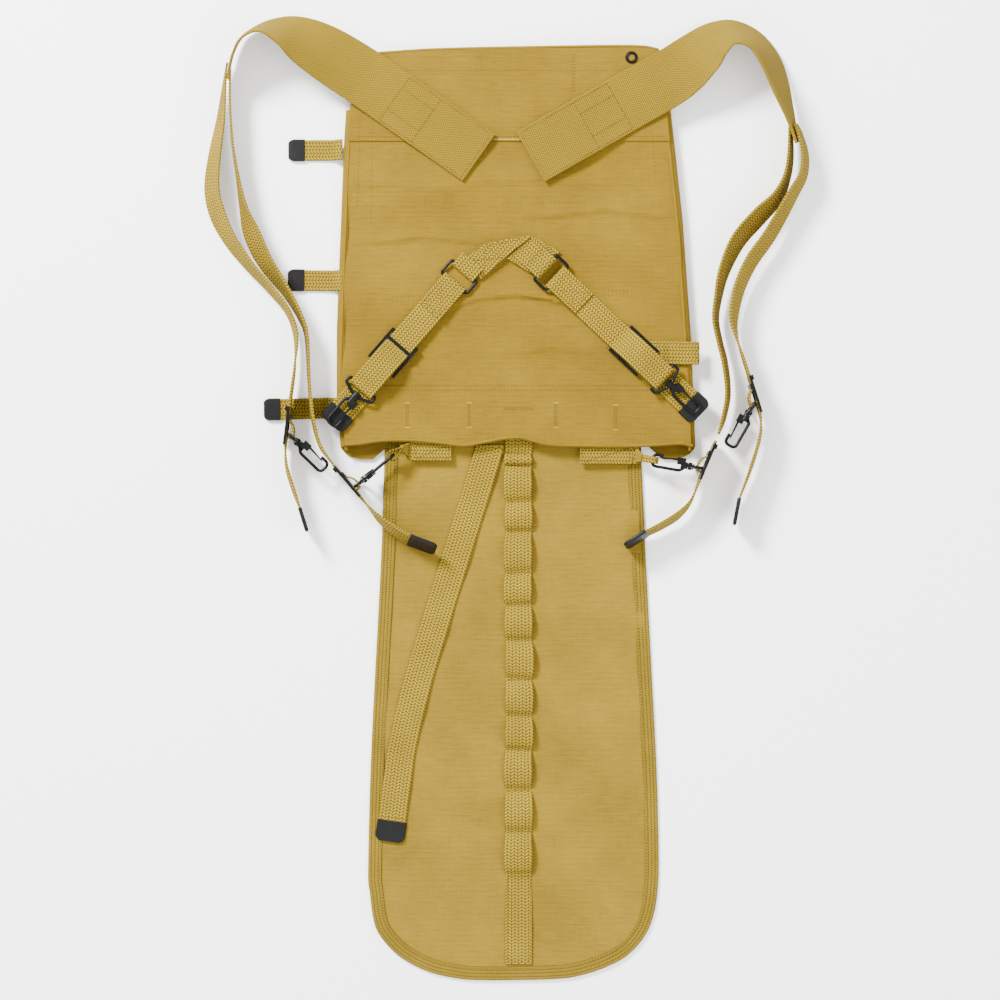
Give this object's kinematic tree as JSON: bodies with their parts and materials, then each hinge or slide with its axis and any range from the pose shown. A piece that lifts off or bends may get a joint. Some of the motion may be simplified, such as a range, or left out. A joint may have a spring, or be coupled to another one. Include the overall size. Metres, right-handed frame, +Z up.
{
  "type": "canvas haversack with webbing harness",
  "caption": "Flat canvas haversack with folding wings, long inner flap, wide shoulder suspenders, rear yoke straps and snap hooks on webbing.",
  "frame": {"origin": "on the surface it lies on, under the middle of the laid-out object's box", "axes": "+Y along the object towards its shoulder end, +X to the right, +Z up out of the side worn against the back"},
  "size_m": [0.561, 0.905, 0.057],
  "materials": {
    "canvas": "matt cotton canvas",
    "binding_tape": "matt woven tape",
    "webbing": "coarse herringbone cotton webbing",
    "wide_webbing": "fine woven cotton webbing",
    "black_enamel": "satin black enamel",
    "strap_tip": "satin black enamel"
  },
  "bodies": {
    "haversack": {"back_panel": "canvas", "top_layer": "canvas", "hem_band": "canvas", "eyelet": "black_enamel", "shoulder_anchors": "wide_webbing", "yoke_webs": "webbing", "webbing_tabs": "webbing", "inner_strap_ends": "webbing", "inner_strap_tips": "strap_tip"},
    "left_wing": {"left_wing": "canvas"},
    "right_wing": {"right_wing": "canvas"},
    "flap": {"flap_panel": "canvas", "flap_binding": "binding_tape", "loop_webbing": "webbing"},
    "coupling_strap": {"coupling_strap": "webbing", "coupling_strap_tip": "strap_tip"},
    "binding_strap_1": {"binding_strap_1": "webbing", "binding_strap_tip_1": "strap_tip"},
    "binding_strap_2": {"binding_strap_2": "webbing", "binding_strap_tip_2": "strap_tip"},
    "binding_strap_3": {"binding_strap_3": "webbing", "binding_strap_tip_3": "strap_tip"},
    "left_suspender": {"left_shoulder_web": "wide_webbing", "left_outer_strap": "webbing", "left_outer_strap_tip": "strap_tip", "left_inner_strap": "webbing"},
    "left_yoke_ring": {"left_yoke_ring": "black_enamel"},
    "left_rear_strap": {"left_rear_strap": "webbing", "left_rear_strap_tip": "strap_tip"},
    "right_suspender": {"right_shoulder_web": "wide_webbing", "right_outer_strap": "webbing", "right_outer_strap_tip": "strap_tip", "right_inner_strap": "webbing"},
    "right_yoke_ring": {"right_yoke_ring": "black_enamel"},
    "right_rear_strap": {"right_rear_strap": "webbing", "right_rear_strap_tip": "strap_tip"},
    "left_outer_adjuster": {"left_outer_adjuster": "black_enamel"},
    "left_outer_ring": {"left_outer_ring": "black_enamel"},
    "left_outer_hook": {"left_outer_hook": "black_enamel"},
    "left_outer_gate": {"left_outer_gate": "black_enamel"},
    "left_inner_adjuster": {"left_inner_adjuster": "black_enamel"},
    "left_inner_ring": {"left_inner_ring": "black_enamel"},
    "left_inner_hook": {"left_inner_hook": "black_enamel"},
    "left_inner_gate": {"left_inner_gate": "black_enamel"},
    "right_outer_adjuster": {"right_outer_adjuster": "black_enamel"},
    "right_outer_ring": {"right_outer_ring": "black_enamel"},
    "right_outer_hook": {"right_outer_hook": "black_enamel"},
    "right_outer_gate": {"right_outer_gate": "black_enamel"},
    "right_inner_adjuster": {"right_inner_adjuster": "black_enamel"},
    "right_inner_ring": {"right_inner_ring": "black_enamel"},
    "right_inner_hook": {"right_inner_hook": "black_enamel"},
    "right_inner_gate": {"right_inner_gate": "black_enamel"},
    "left_rear_adjuster": {"left_rear_adjuster": "black_enamel"},
    "left_rear_ring": {"left_rear_ring": "black_enamel"},
    "left_rear_hook": {"left_rear_hook": "black_enamel"},
    "left_rear_gate": {"left_rear_gate": "black_enamel"},
    "right_rear_adjuster": {"right_rear_adjuster": "black_enamel"},
    "right_rear_ring": {"right_rear_ring": "black_enamel"},
    "right_rear_hook": {"right_rear_hook": "black_enamel"},
    "right_rear_gate": {"right_rear_gate": "black_enamel"}
  },
  "joints": [
    {"name": "flap_fold", "type": "hinge", "parent": "haversack", "child": "flap", "pos_m": [0.0055, 0.0445, 0], "axis": [-1, 0, 0], "range_deg": [-170, 0]},
    {"name": "left_wing_fold", "type": "hinge", "parent": "haversack", "child": "left_wing", "pos_m": [-0.1562, 0.056, 0.0107], "axis": [0, 1, 0], "range_deg": [0, 90]},
    {"name": "right_wing_fold", "type": "hinge", "parent": "haversack", "child": "right_wing", "pos_m": [0.1783, 0.056, 0.0107], "axis": [0.0754, -0.9972, 0], "range_deg": [0, 90]},
    {"name": "binding_strap_1_swing", "type": "hinge", "parent": "haversack", "child": "binding_strap_1", "pos_m": [-0.157, 0.327, 0.0013], "axis": [0, -1, 0], "range_deg": [0, 150]},
    {"name": "binding_strap_2_swing", "type": "hinge", "parent": "haversack", "child": "binding_strap_2", "pos_m": [-0.157, 0.2045, 0.0013], "axis": [0, -1, 0], "range_deg": [0, 150]},
    {"name": "binding_strap_3_swing", "type": "hinge", "parent": "haversack", "child": "binding_strap_3", "pos_m": [-0.157, 0.085, 0.0013], "axis": [0, -1, 0], "range_deg": [0, 150]},
    {"name": "left_suspender_lift", "type": "hinge", "parent": "haversack", "child": "left_suspender", "pos_m": [-0.15, 0.403, 0.0152], "axis": [0.0296, 0.9996, 0], "range_deg": [0, 34]},
    {"name": "right_suspender_lift", "type": "hinge", "parent": "haversack", "child": "right_suspender", "pos_m": [0.158, 0.398, 0.0152], "axis": [0.1027, -0.9947, 0], "range_deg": [0, 40]},
    {"name": "coupling_strap_lift", "type": "hinge", "parent": "flap", "child": "coupling_strap", "pos_m": [-0.018, 0.042, 0.0039], "axis": [-0.9568, 0.2908, 0], "range_deg": [0, 110]},
    {"name": "left_yoke_ring_tilt", "type": "hinge", "parent": "haversack", "child": "left_yoke_ring", "pos_m": [-0.0391, 0.21336, 0.0166], "axis": [-0.7544, 0.6564, 0], "range_deg": [0, 60]},
    {"name": "left_rear_strap_lift", "type": "hinge", "parent": "left_yoke_ring", "child": "left_rear_strap", "pos_m": [-0.0496, 0.2013, 0.0166], "axis": [-0.7544, 0.6564, 0], "range_deg": [0, 110]},
    {"name": "right_yoke_ring_tilt", "type": "hinge", "parent": "haversack", "child": "right_yoke_ring", "pos_m": [0.03585, 0.21678, 0.0166], "axis": [0.6858, 0.7278, 0], "range_deg": [-60, 0]},
    {"name": "right_rear_strap_lift", "type": "hinge", "parent": "right_yoke_ring", "child": "right_rear_strap", "pos_m": [0.0475, 0.2058, 0.0166], "axis": [0.6858, 0.7278, 0], "range_deg": [-110, 0]},
    {"name": "left_outer_adjuster_slide", "type": "slide", "parent": "left_suspender", "child": "left_outer_adjuster", "axis": [-0.124, -0.9923, 0], "range_m": [-0.014, 0]},
    {"name": "left_outer_ring_pivot", "type": "hinge", "parent": "left_suspender", "child": "left_outer_ring", "pos_m": [-0.20272, 0.05965, 0.0185], "axis": [0, 0, -1], "range_deg": [0, 20]},
    {"name": "left_outer_hook_swivel", "type": "hinge", "parent": "left_outer_ring", "child": "left_outer_hook", "pos_m": [-0.1955, 0.05273, 0.0185], "axis": [0.722, -0.6919, 0], "continuous": true},
    {"name": "left_outer_gate_spring", "type": "hinge", "parent": "left_outer_hook", "child": "left_outer_gate", "pos_m": [-0.18523, 0.04899, 0.0185], "axis": [0, 0, 1], "range_deg": [-18, 0], "stiffness_Nm_per_rad": 0.02, "springref_deg": 5.73},
    {"name": "left_inner_adjuster_slide", "type": "slide", "parent": "haversack", "child": "left_inner_adjuster", "axis": [0.6483, -0.7614, 0], "range_m": [-0.004, 0]},
    {"name": "left_inner_ring_pivot", "type": "hinge", "parent": "haversack", "child": "left_inner_ring", "pos_m": [-0.1408, 0.01155, 0.0185], "axis": [0, 0, -1], "range_deg": [-2, 2]},
    {"name": "left_inner_hook_swivel", "type": "hinge", "parent": "left_inner_ring", "child": "left_inner_hook", "pos_m": [-0.13311, 0.01794, 0.0185], "axis": [0.769, 0.6392, 0], "range_deg": [-12, 12]},
    {"name": "left_inner_gate_spring", "type": "hinge", "parent": "left_inner_hook", "child": "left_inner_gate", "pos_m": [-0.12542, 0.02433, 0.0141], "axis": [-0.6392, 0.769, 0], "range_deg": [-18, 0], "stiffness_Nm_per_rad": 0.02, "springref_deg": 5.73},
    {"name": "right_outer_adjuster_slide", "type": "slide", "parent": "right_suspender", "child": "right_outer_adjuster", "axis": [0.3, -0.9539, 0], "range_m": [-0.014, 0]},
    {"name": "right_outer_ring_pivot", "type": "hinge", "parent": "right_suspender", "child": "right_outer_ring", "pos_m": [0.23125, 0.08888, 0.0185], "axis": [0, 0, 1], "range_deg": [-4, 15]},
    {"name": "right_outer_hook_swivel", "type": "hinge", "parent": "right_outer_ring", "child": "right_outer_hook", "pos_m": [0.22627, 0.08021, 0.0185], "axis": [-0.4983, -0.867, 0], "continuous": true},
    {"name": "right_outer_gate_spring", "type": "hinge", "parent": "right_outer_hook", "child": "right_outer_gate", "pos_m": [0.21747, 0.07373, 0.0185], "axis": [0, 0, -1], "range_deg": [-18, 0], "stiffness_Nm_per_rad": 0.02, "springref_deg": 5.73},
    {"name": "right_inner_adjuster_slide", "type": "slide", "parent": "haversack", "child": "right_inner_adjuster", "axis": [-0.387, -0.9221, 0], "range_m": [-0.004, 0]},
    {"name": "right_inner_ring_pivot", "type": "hinge", "parent": "haversack", "child": "right_inner_ring", "pos_m": [0.18136, 0.0284, 0.0185], "axis": [0, 0, 1], "range_deg": [-0.8, 0]},
    {"name": "right_inner_hook_swivel", "type": "hinge", "parent": "right_inner_ring", "child": "right_inner_hook", "pos_m": [0.17151, 0.0301, 0.0185], "axis": [-0.9854, 0.1701, 0], "range_deg": [-12, 12]},
    {"name": "right_inner_gate_spring", "type": "hinge", "parent": "right_inner_hook", "child": "right_inner_gate", "pos_m": [0.1624, 0.03614, 0.0185], "axis": [0, 0, -1], "range_deg": [-18, 0], "stiffness_Nm_per_rad": 0.02, "springref_deg": 5.73},
    {"name": "left_rear_adjuster_slide", "type": "slide", "parent": "left_rear_strap", "child": "left_rear_adjuster", "axis": [-0.6564, -0.7544, 0], "range_m": [-0.02, 0]},
    {"name": "left_rear_ring_pivot", "type": "hinge", "parent": "left_rear_strap", "child": "left_rear_ring", "pos_m": [-0.13422, 0.10403, 0.021], "axis": [0.7544, -0.6564, 0], "range_deg": [-20, 0]},
    {"name": "left_rear_hook_swivel", "type": "hinge", "parent": "left_rear_ring", "child": "left_rear_hook", "pos_m": [-0.14079, 0.09649, 0.021], "axis": [-0.6564, -0.7544, 0], "range_deg": [-8, 20]},
    {"name": "left_rear_gate_spring", "type": "hinge", "parent": "left_rear_hook", "child": "left_rear_gate", "pos_m": [-0.14403, 0.08606, 0.021], "axis": [0, 0, 1], "range_deg": [-18, 0], "stiffness_Nm_per_rad": 0.02, "springref_deg": 5.73},
    {"name": "right_rear_adjuster_slide", "type": "slide", "parent": "right_rear_strap", "child": "right_rear_adjuster", "axis": [0.7278, -0.6858, 0], "range_m": [-0.02, 0]},
    {"name": "right_rear_ring_pivot", "type": "hinge", "parent": "right_rear_strap", "child": "right_rear_ring", "pos_m": [0.14542, 0.11353, 0.021], "axis": [0.6858, 0.7278, 0], "range_deg": [-20, 0]},
    {"name": "right_rear_hook_swivel", "type": "hinge", "parent": "right_rear_ring", "child": "right_rear_hook", "pos_m": [0.15269, 0.10668, 0.021], "axis": [0.7278, -0.6858, 0], "range_deg": [-8, 20]},
    {"name": "right_rear_gate_spring", "type": "hinge", "parent": "right_rear_hook", "child": "right_rear_gate", "pos_m": [0.16299, 0.10302, 0.021], "axis": [0, 0, 1], "range_deg": [-18, 0], "stiffness_Nm_per_rad": 0.02, "springref_deg": 5.73}
  ]
}
